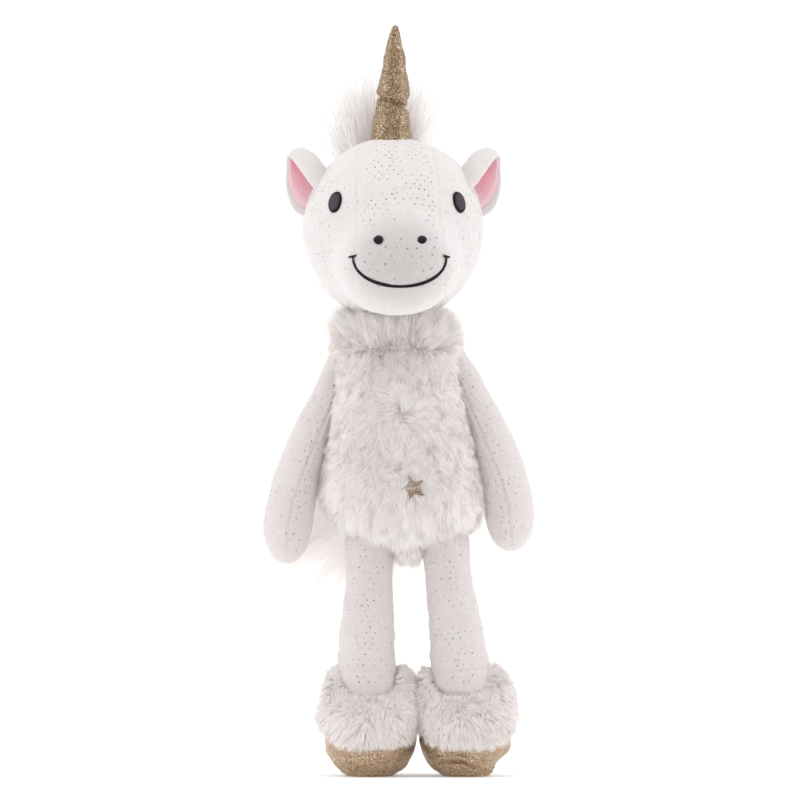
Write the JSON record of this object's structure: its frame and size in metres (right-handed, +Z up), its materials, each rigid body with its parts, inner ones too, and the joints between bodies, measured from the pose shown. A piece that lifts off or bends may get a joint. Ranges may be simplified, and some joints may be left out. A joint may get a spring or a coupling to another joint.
{
  "type": "plush unicorn",
  "caption": "Standing plush unicorn with a large round head, a soft horn, a fur body with mane and tail, and gold glitter hooves.",
  "frame": {"origin": "centre of the toy's footprint on the floor, under the middle of its bounding box", "axes": "+Z up through the horn, -Y the way the toy faces, +X towards the toy's own left"},
  "size_m": [0.1633, 0.1469, 0.45],
  "materials": {
    "white_velour": "short soft nap",
    "white_fur": "long soft pile",
    "gold_glitter": "glitter cloth",
    "pink_velour": "short soft nap",
    "dark_eye_cloth": "smooth satin",
    "black_thread": "satin stitch",
    "white_thread": "twisted thread",
    "polyester_fibre": "loose fibre",
    "plastic_pellets": "cloth bag of pellets",
    "woven_tape": "woven"
  },
  "bodies": {
    "torso": {"body_front_panel": "white_fur", "body_back_panel": "white_fur", "body_filling": "polyester_fibre", "seat_pellet_bag": "plastic_pellets", "belly_patch": "gold_glitter", "crotch_gusset": "white_fur"},
    "neck": {"neck_filling": "polyester_fibre", "neck_thread": "white_thread"},
    "head": {"face_gusset": "white_velour", "left_cheek_panel": "white_velour", "right_cheek_panel": "white_velour", "head_back_panel": "white_velour", "head_filling": "polyester_fibre", "left_eye_pad": "dark_eye_cloth", "right_eye_pad": "dark_eye_cloth", "left_eye_stitching": "black_thread", "right_eye_stitching": "black_thread", "nostril_embroidery": "black_thread", "mouth_embroidery": "black_thread", "horn_base_cloth": "gold_glitter", "horn_base_filling": "polyester_fibre", "mane_tape": "woven_tape", "mane_crest": "white_fur", "forelock": "white_fur"},
    "horn_tip": {"horn_tip_cloth": "gold_glitter", "horn_tip_filling": "polyester_fibre", "horn_gather_thread": "gold_glitter"},
    "left_ear": {"left_ear_back": "white_velour", "left_ear_lining": "pink_velour"},
    "right_ear": {"right_ear_back": "white_velour", "right_ear_lining": "pink_velour"},
    "tail": {"tail_tab": "woven_tape", "tail_tuft": "white_fur"},
    "left_shoulder": {"left_shoulder_gather": "white_velour"},
    "left_arm": {"left_arm_inner_panel": "white_velour", "left_arm_outer_panel": "white_velour", "left_arm_filling": "polyester_fibre"},
    "left_hip": {"left_hip_gather": "white_velour"},
    "left_leg": {"left_leg_front_panel": "white_velour", "left_leg_back_panel": "white_velour", "left_leg_filling": "polyester_fibre", "left_fur_cuff": "white_fur", "left_hoof_upper": "gold_glitter", "left_foot_filling": "polyester_fibre", "left_hoof_pellets": "plastic_pellets", "left_hoof_sole": "gold_glitter"},
    "right_shoulder": {"right_shoulder_gather": "white_velour"},
    "right_arm": {"right_arm_inner_panel": "white_velour", "right_arm_outer_panel": "white_velour", "right_arm_filling": "polyester_fibre"},
    "right_hip": {"right_hip_gather": "white_velour"},
    "right_leg": {"right_leg_front_panel": "white_velour", "right_leg_back_panel": "white_velour", "right_leg_filling": "polyester_fibre", "right_fur_cuff": "white_fur", "right_hoof_upper": "gold_glitter", "right_foot_filling": "polyester_fibre", "right_hoof_pellets": "plastic_pellets", "right_hoof_sole": "gold_glitter"}
  },
  "joints": [
    {"name": "neck_turn", "type": "hinge", "parent": "torso", "child": "neck", "pos_m": [-0.002, 0, 0.282], "axis": [0, 0, -1], "range_deg": [-60, 60]},
    {"name": "neck_nod", "type": "hinge", "parent": "neck", "child": "head", "pos_m": [-0.002, 0, 0.282], "axis": [-1, 0, 0], "range_deg": [-18, 22]},
    {"name": "horn_bend", "type": "hinge", "parent": "head", "child": "horn_tip", "pos_m": [-0.003, 0, 0.4044], "axis": [0, 1, 0], "range_deg": [-20, 20], "stiffness_Nm_per_rad": 0.02},
    {"name": "tail_swing", "type": "hinge", "parent": "torso", "child": "tail", "pos_m": [-0.006, 0.0422, 0.172], "axis": [0, 1, 0], "range_deg": [-40, 40]},
    {"name": "left_ear_fold", "type": "hinge", "parent": "head", "child": "left_ear", "pos_m": [0.04751, 0.004, 0.35314], "axis": [-0.4384, 0, 0.8988], "range_deg": [-35, 35], "stiffness_Nm_per_rad": 0.006},
    {"name": "left_shoulder_raise", "type": "hinge", "parent": "torso", "child": "left_shoulder", "pos_m": [0.0336, 0, 0.259], "axis": [0, -1, 0], "range_deg": [0, 70]},
    {"name": "left_shoulder_swing", "type": "hinge", "parent": "left_shoulder", "child": "left_arm", "pos_m": [0.0336, 0, 0.259], "axis": [-1, 0, 0], "range_deg": [-50, 95]},
    {"name": "left_hip_splay", "type": "hinge", "parent": "torso", "child": "left_hip", "pos_m": [0.0285, 0, 0.138], "axis": [0, -1, 0], "range_deg": [0, 20]},
    {"name": "left_hip_swing", "type": "hinge", "parent": "left_hip", "child": "left_leg", "pos_m": [0.0285, 0, 0.138], "axis": [1, 0, 0], "range_deg": [-90, 30]},
    {"name": "right_ear_fold", "type": "hinge", "parent": "head", "child": "right_ear", "pos_m": [-0.05351, 0.004, 0.35314], "axis": [0.4384, 0, 0.8988], "range_deg": [-35, 35], "stiffness_Nm_per_rad": 0.006},
    {"name": "right_shoulder_raise", "type": "hinge", "parent": "torso", "child": "right_shoulder", "pos_m": [-0.0367, 0, 0.2555], "axis": [0, 1, 0], "range_deg": [0, 70]},
    {"name": "right_shoulder_swing", "type": "hinge", "parent": "right_shoulder", "child": "right_arm", "pos_m": [-0.0367, 0, 0.2555], "axis": [-1, 0, 0], "range_deg": [-50, 95]},
    {"name": "right_hip_splay", "type": "hinge", "parent": "torso", "child": "right_hip", "pos_m": [-0.0177, 0, 0.138], "axis": [0, 1, 0], "range_deg": [0, 20]},
    {"name": "right_hip_swing", "type": "hinge", "parent": "right_hip", "child": "right_leg", "pos_m": [-0.0177, 0, 0.138], "axis": [1, 0, 0], "range_deg": [-90, 30]}
  ]
}
